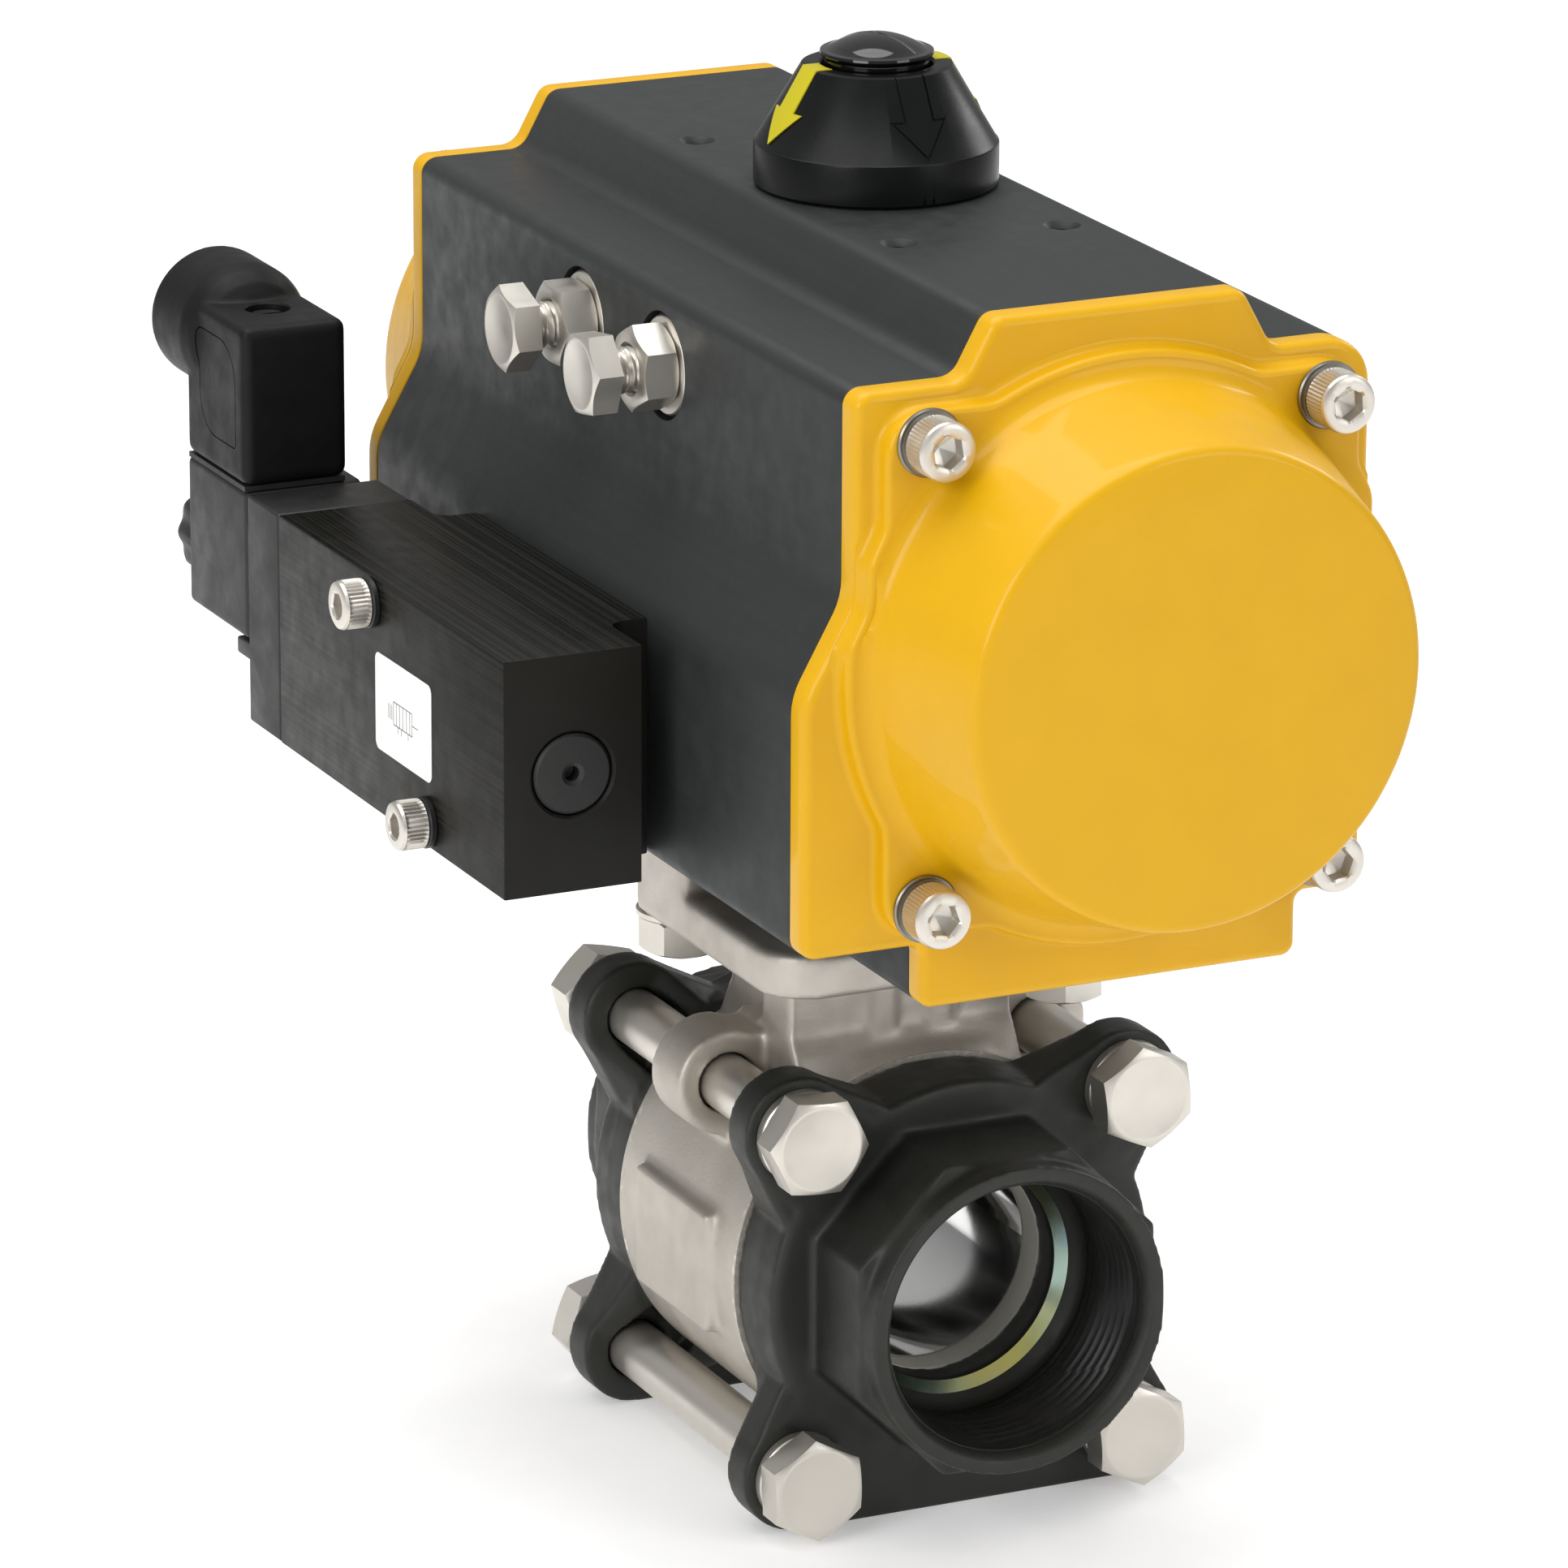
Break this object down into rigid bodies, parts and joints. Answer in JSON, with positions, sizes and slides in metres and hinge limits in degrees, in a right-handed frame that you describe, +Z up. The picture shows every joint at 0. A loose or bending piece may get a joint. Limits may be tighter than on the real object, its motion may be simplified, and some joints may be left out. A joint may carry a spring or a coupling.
{
  "type": "rotary pneumatic actuator",
  "caption": "Double-acting rack-and-pinion pneumatic actuator with yellow end caps, a solenoid pilot valve on its side and a bolted ball valve under it.",
  "frame": {"origin": "on the stem axis, in the plane that the two pipe ends rest on", "axes": "+Z up along the stem, Y along the pipe and the cylinder with the front cap at -Y, the pilot valve on the -X side"},
  "size_m": [0.1405, 0.241, 0.252],
  "materials": {
    "anodised_body": "charcoal hard-anodised extrusion, satin, fine drawn grain along the cylinder",
    "anodised_block": "black anodised bar, machined faces with fine lines along the bar, glossy on top",
    "yellow_paint": "glossy yellow powder coat over a die casting, slight orange peel, worn at screw seats",
    "stainless_fastener": "stainless fasteners, turned and knurled, bright edges",
    "cast_stainless": "investment-cast stainless steel, fine bead-blasted grain, soft edges",
    "black_phosphate": "black phosphated forged steel with small bright rubs on its edges",
    "machined_steel": "turned steel",
    "ball_chrome": "polished stainless ball",
    "piston_aluminium": "die-cast aluminium with machined lands",
    "indicator_plastic": "moulded black plastic, semi-gloss",
    "indicator_inlay": "moulded yellow-green plastic inlays",
    "black_plastic": "black glass-filled plastic, fine spark-eroded texture",
    "label_film": null,
    "white_polymer": "white bearing and seat polymer",
    "seal_rubber": "black nitrile rubber",
    "spring_steel": "drawn spring wire",
    "terminal_brass": "tinned brass blades"
  },
  "bodies": {
    "housing": {"actuator_body": "anodised_body", "front_end_cap": "yellow_paint", "rear_end_cap": "yellow_paint", "front_cap_seals": "seal_rubber", "rear_cap_seals": "seal_rubber", "end_cap_screws": "stainless_fastener", "end_cap_washers": "stainless_fastener", "travel_stop_bolts": "stainless_fastener", "travel_stop_nuts": "stainless_fastener", "travel_stop_washers": "stainless_fastener", "upper_pinion_bearing": "white_polymer", "lower_pinion_bearing": "white_polymer", "thrust_washer": "white_polymer", "pilot_block": "anodised_block", "interface_seals": "seal_rubber", "block_end_plug": "black_plastic", "plug_seal": "seal_rubber", "block_screws": "stainless_fastener", "block_lock_washers": "stainless_fastener", "block_label": "label_film", "spool_spring": "spring_steel", "pilot_adapter": "black_plastic", "armature_tube": "machined_steel", "plunger_spring": "spring_steel", "solenoid_coil": "black_plastic", "coil_nut": "black_plastic", "coil_terminals": "terminal_brass", "connector_gasket": "seal_rubber", "connector_housing": "black_plastic", "connector_screw": "stainless_fastener", "valve_body": "cast_stainless", "front_pipe_end": "black_phosphate", "rear_pipe_end": "black_phosphate", "body_seals": "white_polymer", "seat_rings": "white_polymer", "stem_packing": "white_polymer", "tie_bolts": "stainless_fastener", "tie_bolt_nuts": "stainless_fastener", "mounting_studs": "stainless_fastener", "mounting_nuts": "stainless_fastener"},
    "drive_train": {"pinion": "machined_steel", "stop_cam": "machined_steel", "retaining_ring": "spring_steel", "pinion_seals": "seal_rubber", "position_indicator": "indicator_plastic", "indicator_arrows": "indicator_inlay", "indicator_screw": "stainless_fastener", "indicator_dome": "indicator_plastic", "ball": "ball_chrome", "valve_stem": "machined_steel", "gland_nut": "stainless_fastener"},
    "front_piston_unit": {"front_piston": "piston_aluminium", "front_piston_seal": "seal_rubber", "front_guide_band": "white_polymer"},
    "rear_piston_unit": {"rear_piston": "piston_aluminium", "rear_piston_seal": "seal_rubber", "rear_guide_band": "white_polymer"},
    "spool_unit": {"spool": "machined_steel", "spool_seals": "seal_rubber"},
    "armature": {"plunger": "machined_steel"}
  },
  "joints": [
    {"name": "pinion_turn", "type": "hinge", "parent": "housing", "child": "drive_train", "pos_m": [0, 0, 0.169], "axis": [0, 0, 1], "range_deg": [-90, 0]},
    {"name": "front_piston_slide", "type": "slide", "parent": "housing", "child": "front_piston_unit", "axis": [0, 1, 0], "range_m": [0, 0.0252]},
    {"name": "rear_piston_slide", "type": "slide", "parent": "housing", "child": "rear_piston_unit", "axis": [0, -1, 0], "range_m": [0, 0.0252]},
    {"name": "spool_slide", "type": "slide", "parent": "housing", "child": "spool_unit", "axis": [0, -1, 0], "range_m": [0, 0.004], "stiffness_N_per_m": 500, "springref_m": -0.01, "deforming": ["spool_spring"]},
    {"name": "armature_slide", "type": "slide", "parent": "housing", "child": "armature", "axis": [0, 1, 0], "range_m": [0, 0.0015], "stiffness_N_per_m": 300, "springref_m": -0.005, "deforming": ["plunger_spring"]}
  ],
  "couplings": [
    {"joint": "front_piston_slide", "follows": "pinion_turn", "m_per_rad": -0.016},
    {"joint": "rear_piston_slide", "follows": "pinion_turn", "m_per_rad": -0.016}
  ]
}
